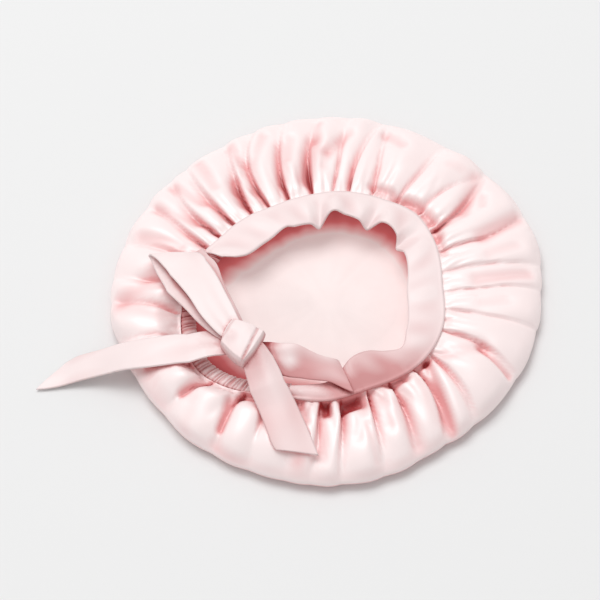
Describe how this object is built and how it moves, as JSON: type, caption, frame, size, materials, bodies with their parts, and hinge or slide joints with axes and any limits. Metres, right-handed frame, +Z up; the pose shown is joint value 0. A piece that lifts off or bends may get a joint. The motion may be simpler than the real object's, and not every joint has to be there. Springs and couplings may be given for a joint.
{
  "type": "sleep bonnet",
  "caption": "Soft satin sleep bonnet lying on its crown, with a gathered ring round the head opening, a sewn band, an elastic casing and two ties in a half bow.",
  "frame": {"origin": "centre of the crown's flat underside, on the surface that the bonnet lies on", "axes": "+Z up out of the head opening, +X along the longest extent, from the left tail across the crown, -Y towards the bow"},
  "size_m": [0.3673, 0.3233, 0.0445],
  "materials": {
    "crown_satin": "glossy pale pink satin, matte on the reverse",
    "band_satin": "glossy pale pink satin",
    "shirred_satin": "satin shirred on elastic",
    "ribbon_satin": "glossy pale pink satin ribbon"
  },
  "bodies": {
    "root": {"crown": "crown_satin", "band": "band_satin", "elastic_casing": "shirred_satin", "tie_left": "ribbon_satin", "tie_right": "ribbon_satin", "bow_loop": "ribbon_satin", "knot": "ribbon_satin", "tail_left": "ribbon_satin", "tail_right": "ribbon_satin"}
  },
  "joints": []
}
